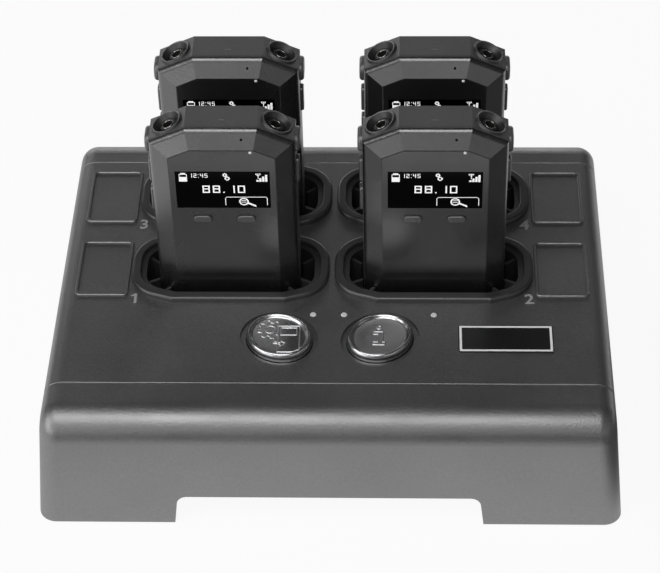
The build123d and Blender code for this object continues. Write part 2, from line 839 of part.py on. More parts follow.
# Rear shell: tub with lanyard lugs, socket holes in its shoulders and slots for the side keys
left_key_levels = (side_key_level, side_key_level - side_key_pitch)
lug_level = receiver_top - lug_drop - lug_height / 2
with BuildPart() as rear_shell:
    add(receiver_body.part)
    split(bisect_by=Plane.XZ.offset(-receiver_seam - receiver_seam_gap / 2), keep=Keep.BOTTOM)
    with BuildSketch(Plane.YZ):
        with Locations((jack_y, lug_level)):
            RectangleRounded(lug_depth, lug_height, lug_round)
    extrude(amount=receiver_half + lug_proud, both=True)
    lug_ends = rear_shell.faces().sort_by(Axis.X)
    fillet(lug_ends[0].edges() + lug_ends[-1].edges(), lug_end_round)
    add(receiver_space, mode=Mode.SUBTRACT)
    with Locations(*jack_turns):
        Cylinder(jack_barrel_radius + jack_gap, 2 * jack_ring_radius, mode=Mode.SUBTRACT)
    with BuildSketch(Plane.YZ):
        with Locations(*[(side_key_y, level) for level in left_key_levels]):
            RectangleRounded(side_key_width + 2 * key_gap, side_key_length + 2 * key_gap, side_key_corner)
    extrude(amount=-receiver_width, mode=Mode.SUBTRACT)
    with BuildSketch(Plane.YZ):
        with Locations((side_key_y, side_key_level)):
            RectangleRounded(side_key_width + 2 * key_gap, side_key_length + 2 * key_gap, side_key_corner)
    extrude(amount=receiver_width, mode=Mode.SUBTRACT)

# Board and battery, two solids taped together, with the battery stuck to the rear shell
pack_floor = receiver_bottom + receiver_wall + pack_lift
standing = (Align.CENTER, Align.MIN, Align.MIN)
with BuildPart() as board_and_battery:
    with Locations((0, board_front, pack_floor)):
        Box(receiver_board_width, receiver_board_thickness, receiver_board_height, align=standing)
    with Locations(*jack_turns):
        Cylinder(jack_barrel_radius + jack_board_gap, 2 * jack_length, mode=Mode.SUBTRACT)
    with Locations((0, battery_front, pack_floor)):
        Box(battery_width, battery_thickness, battery_height, align=standing)

# Every receiver is the same, so its pieces are placed once for each cradle
still = Location((0, 0, 0))
receiver_pieces = (
    ("front_shell", front_shell.part, still),
    ("rear_shell", rear_shell.part, still),
    ("display", display.part, still),
    ("jack_sockets", jack_sockets.part, still),
    ("board_and_battery", board_and_battery.part, still),
    ("left_soft_key", soft_key.part, Location((-key_spacing / 2, 0, key_level))),
    ("right_soft_key", soft_key.part, Location((key_spacing / 2, 0, key_level))),
    ("volume_up", side_key.part, Location((0, 2 * side_key_y, left_key_levels[0]), (0, 0, 180))),
    ("volume_down", side_key.part, Location((0, 2 * side_key_y, left_key_levels[1]), (0, 0, 180))),
    ("power_button", side_key.part, Location((0, 0, side_key_level))),
)
for number, place in enumerate(cradle_places, start=1):
    for name, shape, location in receiver_pieces:
        with BuildPart() as placed_piece:
            with Locations(Location(place) * location):
                add(shape)
        keep(placed_piece, f"receiver_{number}_{name}")
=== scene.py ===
import math

import bmesh
import bpy
from mathutils import Matrix, Vector


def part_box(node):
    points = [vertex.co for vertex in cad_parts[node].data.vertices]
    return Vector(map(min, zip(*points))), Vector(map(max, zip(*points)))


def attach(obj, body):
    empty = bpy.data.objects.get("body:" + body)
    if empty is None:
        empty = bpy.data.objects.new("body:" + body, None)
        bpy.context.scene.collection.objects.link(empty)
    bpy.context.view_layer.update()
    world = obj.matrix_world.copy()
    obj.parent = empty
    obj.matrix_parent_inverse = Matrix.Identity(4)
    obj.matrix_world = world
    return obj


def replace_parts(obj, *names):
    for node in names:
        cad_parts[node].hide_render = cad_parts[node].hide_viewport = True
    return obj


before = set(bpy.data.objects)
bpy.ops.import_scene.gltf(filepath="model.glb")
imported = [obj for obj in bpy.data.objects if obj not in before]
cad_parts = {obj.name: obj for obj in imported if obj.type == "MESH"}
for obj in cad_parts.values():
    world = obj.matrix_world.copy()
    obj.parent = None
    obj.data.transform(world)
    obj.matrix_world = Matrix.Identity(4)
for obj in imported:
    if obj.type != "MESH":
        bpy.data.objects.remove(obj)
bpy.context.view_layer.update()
scene = bpy.context.scene


# Base plate: a black moulded tray that closes the station from below and stands on four legs.
# Its plastic is the casing's, left a little rougher by the tool, as on a face that nobody sees.
MM = 0.001
grain_detail = 3.0
cloud_scale = 34.0
cloud_detail = 4.0
cloud_gloss_swing = 0.2


def combined(tree, operation, first, second):
    """A Math node in a shader tree. Each term is a number or a socket."""
    node = tree.nodes.new("ShaderNodeMath")
    node.operation = operation
    for socket, term in zip(node.inputs, (first, second)):
        if isinstance(term, (int, float)):
            socket.default_value = term
        else:
            tree.links.new(term, socket)
    return node.outputs[0]


def spark_texture_group():
    """The fine grain that a spark-eroded tool leaves on moulded plastic, with faint cloudy patches."""
    group = bpy.data.node_groups.new("spark_texture", "ShaderNodeTree")
    group.interface.new_socket("Tint", in_out="INPUT", socket_type="NodeSocketColor")
    for label in ("Cloud", "Speckle", "Gloss Loss", "Grain"):
        group.interface.new_socket(label, in_out="INPUT", socket_type="NodeSocketFloat")
    group.interface.new_socket("Colour", in_out="OUTPUT", socket_type="NodeSocketColor")
    for label in ("Roughness", "Height"):
        group.interface.new_socket(label, in_out="OUTPUT", socket_type="NodeSocketFloat")
    given = group.nodes.new("NodeGroupInput").outputs
    made = group.nodes.new("NodeGroupOutput").inputs
    place = group.nodes.new("ShaderNodeTexCoord").outputs["Object"]
    grain = group.nodes.new("ShaderNodeTexNoise")
    grain.inputs["Detail"].default_value = grain_detail
    cloud = group.nodes.new("ShaderNodeTexNoise")
    cloud.inputs["Scale"].default_value = cloud_scale
    cloud.inputs["Detail"].default_value = cloud_detail
    for noise in (grain, cloud):
        group.links.new(place, noise.inputs["Vector"])
    group.links.new(given["Grain"], grain.inputs["Scale"])
    grain_swing = combined(group, "SUBTRACT", grain.outputs["Fac"], 0.5)
    cloud_swing = combined(group, "SUBTRACT", cloud.outputs["Fac"], 0.5)
    patches = combined(group, "MULTIPLY", cloud_swing, given["Cloud"])
    specks = combined(group, "MULTIPLY", grain_swing, given["Speckle"])
    shade = combined(group, "ADD", combined(group, "ADD", patches, specks), 1.0)
    tinted = group.nodes.new("ShaderNodeHueSaturation")
    group.links.new(given["Tint"], tinted.inputs["Color"])
    group.links.new(shade, tinted.inputs["Value"])
    gloss_swing = combined(group, "MULTIPLY", cloud_swing, cloud_gloss_swing)
    dulled = combined(group, "ADD", gloss_swing, given["Gloss Loss"])
    group.links.new(tinted.outputs["Color"], made["Colour"])
    group.links.new(dulled, made["Roughness"])
    group.links.new(grain.outputs["Fac"], made["Height"])
    return group


spark_texture = spark_texture_group()


def grained(
    name, tint, gloss_loss, cloud=0.25, speckle=0.5, grain=2600.0, depth=0.02 * MM,
    metal=0.0, shine=0.9, bend=1.5,
):
    """A procedural finish: one tint, broken up by the tool's grain."""
    material = bpy.data.materials.new(name)
    material.use_nodes = True
    tree = material.node_tree
    shader = tree.nodes["Principled BSDF"]
    shader.inputs["Metallic"].default_value = metal
    shader.inputs["Specular IOR Level"].default_value = shine
    shader.inputs["IOR"].default_value = bend
    texture = tree.nodes.new("ShaderNodeGroup")
    texture.node_tree = spark_texture
    texture.inputs["Tint"].default_value = (*tint, 1.0)
    texture.inputs["Cloud"].default_value = cloud
    texture.inputs["Speckle"].default_value = speckle
    texture.inputs["Gloss Loss"].default_value = gloss_loss
    texture.inputs["Grain"].default_value = grain
    bump = tree.nodes.new("ShaderNodeBump")
    bump.inputs["Distance"].default_value = depth
    tree.links.new(texture.outputs["Colour"], shader.inputs["Base Color"])
    tree.links.new(texture.outputs["Roughness"], shader.inputs["Roughness"])
    tree.links.new(texture.outputs["Height"], bump.inputs["Height"])
    tree.links.new(bump.outputs["Normal"], shader.inputs["Normal"])
    return material


def dress(material, *node_names):
    """Gives CAD solids their finish."""
    for node_name in node_names:
        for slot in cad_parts[node_name].material_slots:
            slot.material = material


base_plastic = grained("base_plastic", (0.03, 0.03, 0.031), 0.62)
dress(base_plastic, "base_plate")


# Feet and screws: soft rubber pads pressed into the legs, and zinc-plated self-tapping screws.
# Case screws come up through the plate into posts of the three shells, board screws into the deck's posts.
foot_rubber = grained("foot_rubber", (0.018, 0.018, 0.018), 0.85, cloud=0.4, grain=1400.0, depth=0.05 * MM)
fastener_steel = grained("fastener_steel", (0.52, 0.52, 0.5), 0.34, speckle=0.2, metal=1.0)
dress(foot_rubber, "rubber_feet")
dress(fastener_steel, "case_screws", "board_screws")


# Casing: front end cap, centre cover and rear end cap, three moulded shells that meet at two seams.
# The plastic is dyed charcoal grey with a fine satin grain from the mould.
casing_plastic = grained(
    "casing_plastic", (0.031, 0.031, 0.0315), 0.42, cloud=0.12, speckle=3.0, grain=1250.0, depth=0.1 * MM,
    shine=1.0, bend=2.0,
)
dress(casing_plastic, "front_end_cap", "center_cover", "rear_end_cap")


# Position numbers: 1 to 4, pad-printed in grey ink on the deck beside the cradles.
# Each print is a flat film on the cover, a twentieth of a millimetre thick.
badge_proud = 0.3 * MM
deck_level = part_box("badge_plate")[1].z - badge_proud
number_height = 5.4 * MM
number_film = 0.05 * MM
type_size_share = 1.38
ink_spread = 0.14 * MM
front_number_across, front_number_row = 75.8 * MM, -16.2 * MM
rear_number_across, rear_number_row = 75.5 * MM, 26.9 * MM
number_places = {
    "1": (-front_number_across, front_number_row),
    "2": (front_number_across, front_number_row),
    "3": (-rear_number_across, rear_number_row),
    "4": (rear_number_across, rear_number_row),
}
print_ink = grained("print_ink", (0.34, 0.34, 0.34), 0.55, cloud=0.3, speckle=0.6)


def settle(name, mesh, material, body):
    """Puts a finished mesh into the scene as a piece that rides on a body."""
    mesh.materials.clear()
    mesh.materials.append(material)
    piece = bpy.data.objects.new(name, mesh)
    scene.collection.objects.link(piece)
    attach(piece, body)
    return piece


def plain_mesh(name, carrier):
    """The evaluated mesh of an object, which is then taken away."""
    scene.collection.objects.link(carrier)
    ready = carrier.evaluated_get(bpy.context.evaluated_depsgraph_get())
    mesh = bpy.data.meshes.new_from_object(ready)
    mesh.name = name
    carrier.modifiers.clear()
    bpy.data.objects.remove(carrier)
    return mesh


def figure_mesh(figure, height, film):
    """A digit, centred, as a thin flat solid that faces up."""
    words = bpy.data.curves.new("figure", "FONT")
    words.body = figure
    words.size = height * type_size_share
    words.align_x = "CENTER"
    words.align_y = "CENTER"
    words.extrude = film / 2
    words.offset = ink_spread
    return plain_mesh("figure_" + figure, bpy.data.objects.new("figure", words))


def flagged_one_mesh(height, film):
    """The figure 1 with a flag at its head, drawn as one outline in shares of its height."""
    stem_left, stem_right, head_left, flag_left = 0.0, 0.2, 0.06, -0.22
    head, heel, flag_head, flag_foot, flag_root = 0.5, -0.5, 0.36, 0.2, 0.3
    corners = [
        (stem_left, heel), (stem_right, heel), (stem_right, head), (head_left, head),
        (flag_left, flag_head), (flag_left, flag_foot), (stem_left, flag_root),
    ]
    drawn = bpy.data.curves.new("figure", "CURVE")
    drawn.dimensions = "2D"
    drawn.fill_mode = "BOTH"
    drawn.extrude = film / 2
    line = drawn.splines.new("POLY")
    line.points.add(len(corners) - 1)
    for point, (across, along) in zip(line.points, corners):
        point.co = (across * height, along * height, 0.0, 1.0)
    line.use_cyclic_u = True
    return plain_mesh("figure_1", bpy.data.objects.new("figure", drawn))


for figure, (across, along) in number_places.items():
    if figure == "1":
        print_mesh = flagged_one_mesh(number_height, number_film)
    else:
        print_mesh = figure_mesh(figure, number_height, number_film)
    print_mesh.transform(Matrix.Translation((across, along, deck_level + number_film / 2)))
    settle("position_number_" + figure, print_mesh, print_ink, "dock")


# Cradles: four moulded cups with a raised rim, a ledge and guide fins, hung in the deck by a flange.
# Their plastic is darker and a little smoother than the casing's.
cradle_plastic = grained("cradle_plastic", (0.026, 0.026, 0.0265), 0.36, cloud=0.15, speckle=0.4)
charging_places = (1, 2, 3, 4)
dress(cradle_plastic, *("cradle_%d" % number for number in charging_places))


# Inside: contact blocks with gold-plated pins, the main board, its switches and the power socket.
# They are screwed or soldered in place, and little of them shows once the casing is closed.
contact_gold = grained("contact_gold", (0.83, 0.6, 0.24), 0.25, speckle=0.1, metal=1.0)
socket_plastic = grained("socket_plastic", (0.022, 0.022, 0.023), 0.4, cloud=0.2)
board_laminate = grained("board_laminate", (0.02, 0.12, 0.045), 0.42, cloud=0.5, grain=900.0)
socket_steel = grained("socket_steel", (0.6, 0.6, 0.59), 0.3, speckle=0.15, metal=1.0)
dress(contact_gold, "contact_pins")
dress(socket_plastic, "contact_blocks", "button_switches")
dress(board_laminate, "main_board")
dress(socket_steel, "power_socket")


# Lamps: three light pipes of milky plastic that carry light up from the main board.
# Each has a flange under the deck and stands a little proud of its hole.
lamp_plastic = grained("lamp_plastic", (0.8, 0.8, 0.8), 0.35, cloud=0.2, speckle=0.1)
dress(lamp_plastic, "light_pipes")


# Badge: a bare black plastic plate, glued into a recess at the front right of the deck.
# A white line is printed round its edge.
badge_line = 0.9 * MM
badge_inset = 0.35 * MM
badge_film = 0.04 * MM
badge_grain = 0.004 * MM
badge_plastic = grained(
    "badge_plastic", (0.006, 0.006, 0.006), 0.3, cloud=0.2, speckle=0.1, depth=badge_grain
)
badge_ink = grained("badge_ink", (0.95, 0.95, 0.95), 0.5, cloud=0.1, speckle=0.1, depth=badge_grain)
dress(badge_plastic, "badge_plate")


def frame_mesh(low, high, width, level, film):
    """A flat rectangular frame between two corners, as a closed solid."""
    shape = bmesh.new()
    rings = []
    for height in (level, level + film):
        for inset in (0.0, width):
            corners = (
                (low.x + inset, low.y + inset),
                (high.x - inset, low.y + inset),
                (high.x - inset, high.y - inset),
                (low.x + inset, high.y - inset),
            )
            rings.append([shape.verts.new((x, y, height)) for x, y in corners])
    outer_low, inner_low, outer_high, inner_high = rings
    for one, other in (
        (outer_low, outer_high),
        (outer_high, inner_high),
        (inner_high, inner_low),
        (inner_low, outer_low),
    ):
        for k in range(4):
            shape.faces.new((one[k], one[k - 3], other[k - 3], other[k]))
    bmesh.ops.recalc_face_normals(shape, faces=shape.faces)
    mesh = bpy.data.meshes.new("badge_border")
    shape.to_mesh(mesh)
    shape.free()
    return mesh


badge_low, badge_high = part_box("badge_plate")
edge = Vector((badge_inset, badge_inset, 0.0))
settle(
    "badge_border",
    frame_mesh(badge_low + edge, badge_high - edge, badge_line, badge_high.z, badge_film),
    badge_ink,
    "dock",
)


# Push buttons: two oval caps, moulded and plated in chrome, that rise from troughs in the deck.
# Each stands on its switch and carries a raised sign: a gear beside a handset, and a letter i.
plating_grain = 0.001 * MM
button_plating = grained(
    "button_plating", (0.58, 0.58, 0.59), 0.24, cloud=0.2, speckle=0.05, depth=plating_grain, metal=1.0
)
button_row = -38.0 * MM
button_across = 12.9 * MM
button_along = 11.4 * MM
button_rise = 2.4 * MM
dish_share = 0.79
brim_share = 0.91
dish_depth = 1.0 * MM
roll_drop = 2.4 * MM
skirt_foot = -2.4 * MM
rim_steps = 96
dish_steps = 3
brim_steps = 12
roll_steps = 12
cap_crease = math.radians(50.0)
button_offset = 19.0 * MM
button_turn = 35.0
button_places = {
    "config_button": (-button_offset, -button_turn),
    "info_button": (button_offset, button_turn),
}


def crown_height(share):
    """Height above the deck at a share of the way from the middle of a cap to its side."""
    if share <= dish_share:
        return button_rise - dish_depth
    if share <= brim_share:
        climb = (share - dish_share) / (brim_share - dish_share)
        return button_rise - dish_depth * (0.5 + 0.5 * math.cos(math.pi * climb))
    along_roll = min(1.0, (share - brim_share) / (1.0 - brim_share))
    return button_rise - roll_drop * (1.0 - math.sqrt(1.0 - along_roll**2))


def cap_place(across, turn):
    """The move from a cap's own frame, level with the deck, to its place in the station."""
    turned = Matrix.Rotation(math.radians(turn), 4, "Z")
    return Matrix.Translation((across, button_row, deck_level)) @ turned


def cap_mesh(name):
    """An oval cap: a dished crown, a brim, a rolled edge and a straight skirt, closed below."""
    shares = [dish_share * k / dish_steps for k in range(1, dish_steps + 1)]
    shares += [dish_share + (brim_share - dish_share) * k / brim_steps for k in range(1, brim_steps + 1)]
    shares += [
        brim_share + (1.0 - brim_share) * math.sin(0.5 * math.pi * k / roll_steps)
        for k in range(1, roll_steps + 1)
    ]
    levels = [(share, crown_height(share)) for share in shares] + [(1.0, skirt_foot)]
    shape = bmesh.new()
    top = shape.verts.new((0.0, 0.0, crown_height(0.0)))
    angles = [2.0 * math.pi * k / rim_steps for k in range(rim_steps)]
    rings = []
    for share, height in levels:
        across, along = share * button_across, share * button_along
        rings.append([
            shape.verts.new((across * math.cos(a), along * math.sin(a), height)) for a in angles
        ])
    for k in range(rim_steps):
        shape.faces.new((top, rings[0][k - 1], rings[0][k]))
        for inner, outer in zip(rings, rings[1:]):
            shape.faces.new((inner[k - 1], outer[k - 1], outer[k], inner[k]))
    shape.faces.new(list(reversed(rings[-1])))
    bmesh.ops.recalc_face_normals(shape, faces=shape.faces)
    mesh = bpy.data.meshes.new(name)
    shape.to_mesh(mesh)
    shape.free()
    mesh.shade_smooth()
    mesh.set_sharp_from_angle(angle=cap_crease)
    return mesh


for button, (across, turn) in button_places.items():
    cap = cap_mesh(button + "_cap")
    cap.transform(cap_place(across, turn))
    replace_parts(settle(button + "_cap", cap, button_plating, button), button)


# Button signs: raised lines on the caps, moulded with them, and paler and duller than the caps' plating.
# They lie on the crown, so every point of a line takes its height from the cap below it.
sign_plating = grained(
    "sign_plating", (0.85, 0.85, 0.86), 0.36, cloud=0.3, speckle=0.05, depth=plating_grain, metal=1.0
)
sign_line = 0.5 * MM
sign_step = 0.35 * MM
line_sides = 8
tooth_steepness = 1.8


def raised_line_tree():
    """Geometry Nodes: turns the edges of a mesh into a round raised line."""
    tree = bpy.data.node_groups.new("raised_line", "GeometryNodeTree")
    tree.interface.new_socket("Path", in_out="INPUT", socket_type="NodeSocketGeometry")
    tree.interface.new_socket("Line Width", in_out="INPUT", socket_type="NodeSocketFloat")
    tree.interface.new_socket("Finish", in_out="INPUT", socket_type="NodeSocketMaterial")
    tree.interface.new_socket("Line", in_out="OUTPUT", socket_type="NodeSocketGeometry")
    given = tree.nodes.new("NodeGroupInput").outputs
    made = tree.nodes.new("NodeGroupOutput").inputs
    curve = tree.nodes.new("GeometryNodeMeshToCurve")
    half = tree.nodes.new("ShaderNodeMath")
    half.operation = "MULTIPLY"
    half.inputs[1].default_value = 0.5
    section = tree.nodes.new("GeometryNodeCurvePrimitiveCircle")
    section.inputs["Resolution"].default_value = line_sides
    tube = tree.nodes.new("GeometryNodeCurveToMesh")
    tube.inputs["Fill Caps"].default_value = True
    smooth = tree.nodes.new("GeometryNodeSetShadeSmooth")
    realize = tree.nodes.new("GeometryNodeRealizeInstances")
    finish = tree.nodes.new("GeometryNodeSetMaterial")
    tree.links.new(given["Path"], curve.inputs["Mesh"])
    tree.links.new(given["Line Width"], half.inputs[0])
    tree.links.new(half.outputs[0], section.inputs["Radius"])
    tree.links.new(curve.outputs["Curve"], tube.inputs["Curve"])
    tree.links.new(section.outputs["Curve"], tube.inputs["Profile Curve"])
    tree.links.new(tube.outputs["Mesh"], smooth.inputs["Geometry"])
    tree.links.new(smooth.outputs["Geometry"], realize.inputs["Geometry"])
    tree.links.new(realize.outputs["Geometry"], finish.inputs["Geometry"])
    tree.links.new(given["Finish"], finish.inputs["Material"])
    tree.links.new(finish.outputs["Geometry"], made["Line"])
    return tree


def grown(name, seed_mesh, tree, settings):
    """The plain mesh that a Geometry Nodes tree makes from a seed mesh."""
    carrier = bpy.data.objects.new(name, seed_mesh)
    modifier = carrier.modifiers.new("tree", "NODES")
    modifier.node_group = tree
    for item in tree.interface.items_tree:
        if item.name in settings:
            modifier[item.identifier] = settings[item.name]
    return plain_mesh(name, carrier)


raised_line = raised_line_tree()


def ring_points(middle, radius, steps):
    """Points round a circle."""
    angles = [2.0 * math.pi * k / steps for k in range(steps)]
    return [(middle[0] + radius * math.cos(a), middle[1] + radius * math.sin(a)) for a in angles]


def gear_points(middle, mean_radius, tooth, teeth, steps):
    """Points round a gear: the radius swings between two flats."""
    points = []
    for k in range(steps):
        angle = 2.0 * math.pi * k / steps
        swing = max(-1.0, min(1.0, tooth_steepness * math.sin(teeth * angle)))
        radius = mean_radius + tooth * swing
        points.append((middle[0] + radius * math.cos(angle), middle[1] + radius * math.sin(angle)))
    return points


def box_points(left, low, wide, high):
    """The corners of an upright rectangle."""
    return [(left, low), (left + wide, low), (left + wide, low + high), (left, low + high)]


def behind_handset(x, y):
    """Whether the handset covers a point of the gear."""
    return x > handset_left and y < handset_low + handset_high


def uncovered(x, y):
    """For a line with nothing in front of it."""
    return False


def sign_mesh(name, loops, across, turn, hidden):
    """Raised lines along closed loops, in millimetres from the middle of a cap."""
    points = []
    edges = []
    for loop in loops:
        walked = []
        for (x0, y0), (x1, y1) in zip(loop, loop[1:] + loop[:1]):
            pieces = max(1, math.ceil(math.hypot(x1 - x0, y1 - y0) * MM / sign_step))
            walked += [(x0 + (x1 - x0) * k / pieces, y0 + (y1 - y0) * k / pieces) for k in range(pieces)]
        first = len(points)
        points += walked
        count = len(walked)
        edges += [
            (first + k, first + (k + 1) % count)
            for k in range(count)
            if not hidden(*walked[k]) and not hidden(*walked[(k + 1) % count])
        ]
    lean = math.radians(turn)
    lifted = []
    for x, y in points:
        long_way = (x * math.cos(lean) + y * math.sin(lean)) * MM / button_across
        short_way = (y * math.cos(lean) - x * math.sin(lean)) * MM / button_along
        height = crown_height(math.hypot(long_way, short_way))
        lifted.append((across + x * MM, button_row + y * MM, deck_level + height))
    seed = bpy.data.meshes.new(name)
    seed.from_pydata(lifted, edges, [])
    return grown(name, seed, raised_line, {"Line Width": sign_line, "Finish": sign_plating})


gear_middle = (-3.4, 3.3)
gear = gear_points(gear_middle, mean_radius=4.2, tooth=0.6, teeth=8, steps=96)
gear_bore = ring_points(gear_middle, radius=1.95, steps=32)
handset_left, handset_low, handset_wide, handset_high = -0.4, -8.7, 8.2, 13.9
handset = box_points(handset_left, handset_low, handset_wide, handset_high)
handset_window = box_points(left=0.7, low=0.4, wide=6.0, high=3.8)
arrow = [
    (-1.8, -1.3), (-1.3, -3.4), (0.7, -3.9), (0.7, -2.9),
    (2.6, -4.2), (0.7, -5.5), (0.7, -4.6), (-1.9, -4.1),
]
letter_i = [
    (-2.4, 2.3), (1.1, 2.3), (1.1, -3.2), (1.9, -3.2), (1.9, -4.7),
    (-2.6, -4.7), (-2.6, -3.2), (-0.6, -3.2), (-0.6, 0.9), (-2.4, 0.9),
]
letter_dot = ring_points(middle=(-0.3, 4.5), radius=0.8, steps=20)
signs = (
    ("config_button", "gear_sign", [gear, gear_bore], behind_handset),
    ("config_button", "handset_sign", [handset, handset_window, arrow], uncovered),
    ("info_button", "letter_sign", [letter_i, letter_dot], uncovered),
)
for button, sign, loops, hidden in signs:
    across, turn = button_places[button]
    settle(sign, sign_mesh(sign, loops, across, turn, hidden), sign_plating, button)


# Receivers: four handsets of dark satin plastic, each a bevelled front shell on a rear tub.
# Glass, keys and headphone sockets are pieces of their own, set into the shells.
receiver_plastic = grained(
    "receiver_plastic", (0.01, 0.01, 0.0102), 0.25, cloud=0.12, speckle=3.0, grain=1500.0, depth=0.035 * MM,
    shine=1.0, bend=1.68,
)
tub_plastic = grained(
    "tub_plastic", (0.07, 0.07, 0.071), 0.42, cloud=0.12, speckle=1.2, grain=1600.0, depth=0.035 * MM,
    bend=1.6,
)
display_glass = grained(
    "display_glass", (0.0006, 0.0006, 0.0006), 0.12, cloud=0.1, speckle=0.02, depth=0.0003 * MM, shine=0.06
)
key_plastic = grained("key_plastic", (0.06, 0.06, 0.061), 0.28, cloud=0.1, speckle=0.2, shine=1.0, bend=1.6)
ring_plastic = grained("ring_plastic", (0.012, 0.012, 0.0122), 0.45, cloud=0.1, speckle=0.2)
# The socket lips' pale tint is a painted highlight on the sockets' raised edge.
lip_plastic_painted_highlight = grained("lip_plastic_painted_highlight", (0.12, 0.12, 0.121), 0.25, cloud=0.1, speckle=0.3, bend=1.6)
cell_wrap = grained("cell_wrap", (0.05, 0.08, 0.14), 0.4, cloud=0.3)
receiver_names = ["receiver_%d" % number for number in charging_places]
for receiver in receiver_names:
    dress(receiver_plastic, receiver + "_front_shell")
    dress(tub_plastic, receiver + "_rear_shell")
    dress(display_glass, receiver + "_display")
    dress(ring_plastic, receiver + "_jack_sockets")
    dress(cell_wrap, receiver + "_board_and_battery")
    for key in ("left_soft_key", "right_soft_key", "volume_up", "volume_down", "power_button"):
        dress(key_plastic, receiver + "_" + key)


# Screen picture: white dots of the display, 128 across and 64 down, lit behind the glass.
# Only plain symbols show: a battery, digits, a link, signal bars and a soft-key tab with a magnifier.
dots_across = 128
window_width = 35.0 * MM
dot_pitch = window_width / dots_across
dot_share = 0.86
dot_lift = 0.015 * MM
screen_glow = 0.8
white = (1.0, 1.0, 1.0, 1.0)
segments_of = {
    "0": "abcdef", "1": "bc", "2": "abdeg", "3": "abcdg", "4": "bcfg",
    "5": "acdfg", "6": "acdefg", "7": "abc", "8": "abcdefg", "9": "abcdfg",
}


def light_up(material, strength):
    """Makes a finish give off white light."""
    sockets = material.node_tree.nodes["Principled BSDF"].inputs
    sockets["Emission Color"].default_value = white
    sockets["Emission Strength"].default_value = strength


lit_dot = grained("lit_dot", (0.8, 0.8, 0.8), 0.5, cloud=0.1, speckle=0.05)
light_up(lit_dot, screen_glow)


def block(left, top, wide, high):
    """The dots of a filled rectangle, counted from the top left of the screen."""
    return {(x, y) for x in range(left, left + wide) for y in range(top, top + high)}


def outline(left, top, wide, high):
    """The dots of a rectangle's border, one dot thick."""
    return block(left, top, wide, high) - block(left + 1, top + 1, wide - 2, high - 2)


def disc(middle_x, middle_y, radius):
    """The dots of a filled circle."""
    reach = range(-math.ceil(radius), math.ceil(radius) + 1)
    return {(middle_x + x, middle_y + y) for x in reach for y in reach if math.hypot(x, y) <= radius}


def digits(text, left, top, wide, high, thick, gap):
    """The dots of a number in seven-segment figures. A point or colon takes a narrow place."""
    dots = set()
    half = (high - thick) // 2
    for sign in text:
        strokes = {
            "a": block(left, top, wide, thick),
            "g": block(left, top + half, wide, thick),
            "d": block(left, top + high - thick, wide, thick),
            "f": block(left, top, thick, half + thick),
            "b": block(left + wide - thick, top, thick, half + thick),
            "e": block(left, top + half, thick, high - half),
            "c": block(left + wide - thick, top + half, thick, high - half),
        }
        for stroke in segments_of.get(sign, ""):
            dots |= strokes[stroke]
        if sign in ".:":
            dots |= block(left, top + high - thick, thick, thick)
        if sign == ":":
            dots |= block(left, top + thick, thick, thick)
        left += (thick if sign in ".:" else wide) + gap
    return dots


def screen_dots(channel):
    """All the lit dots of one screen, each symbol counted in dots from the screen's top left."""
    battery = block(7, 3, 7, 2) | outline(5, 5, 11, 13) | block(5, 10, 11, 8)
    clock = digits("12:45", left=19, top=4, wide=4, high=7, thick=1, gap=2)
    link = (disc(67, 6, 3) - disc(67, 6, 1)) | (disc(70, 12, 3.5) - disc(70, 12, 1.5))
    aerial = block(109, 4, 7, 1) | block(112, 4, 1, 9)
    aerial |= {(109 + k, 5 + k) for k in range(3)} | {(115 - k, 5 + k) for k in range(3)}
    bars = set().union(*(block(110 + 4 * k, 15 - 3 * k, 3, 3 + 3 * k) for k in range(4)))
    number = digits(channel, left=36, top=25, wide=10, high=13, thick=2, gap=4)
    tab = block(68, 45, 54, 1) | block(66, 47, 1, 13) | block(123, 47, 1, 13) | {(67, 46), (122, 46)}
    lens_ring = disc(91, 53, 6.5) - disc(91, 53, 4.5)
    lens_lines = block(88, 51, 7, 1) | block(88, 54, 7, 1)
    handle = {(97 + k, 55 + k // 2 + thick) for k in range(11) for thick in (0, 1, 2)}
    return sorted(battery | clock | link | aerial | bars | number | tab | lens_ring | lens_lines | handle)


def lit_dots_tree():
    """Geometry Nodes: puts a small upright square, facing the user, on every point."""
    tree = bpy.data.node_groups.new("lit_dots", "GeometryNodeTree")
    tree.interface.new_socket("Points", in_out="INPUT", socket_type="NodeSocketGeometry")
    tree.interface.new_socket("Dot Size", in_out="INPUT", socket_type="NodeSocketFloat")
    tree.interface.new_socket("Finish", in_out="INPUT", socket_type="NodeSocketMaterial")
    tree.interface.new_socket("Picture", in_out="OUTPUT", socket_type="NodeSocketGeometry")
    given = tree.nodes.new("NodeGroupInput").outputs
    made = tree.nodes.new("NodeGroupOutput").inputs
    square = tree.nodes.new("GeometryNodeMeshGrid")
    square.inputs["Vertices X"].default_value = 2
    square.inputs["Vertices Y"].default_value = 2
    upright = tree.nodes.new("GeometryNodeTransform")
    upright.inputs["Rotation"].default_value = (math.pi / 2, 0.0, 0.0)
    spread = tree.nodes.new("GeometryNodeInstanceOnPoints")
    realize = tree.nodes.new("GeometryNodeRealizeInstances")
    finish = tree.nodes.new("GeometryNodeSetMaterial")
    for side in ("Size X", "Size Y"):
        tree.links.new(given["Dot Size"], square.inputs[side])
    tree.links.new(square.outputs["Mesh"], upright.inputs["Geometry"])
    tree.links.new(given["Points"], spread.inputs["Points"])
    tree.links.new(upright.outputs["Geometry"], spread.inputs["Instance"])
    tree.links.new(spread.outputs["Instances"], realize.inputs["Geometry"])
    tree.links.new(realize.outputs["Geometry"], finish.inputs["Geometry"])
    tree.links.new(given["Finish"], finish.inputs["Material"])
    tree.links.new(finish.outputs["Geometry"], made["Picture"])
    return tree


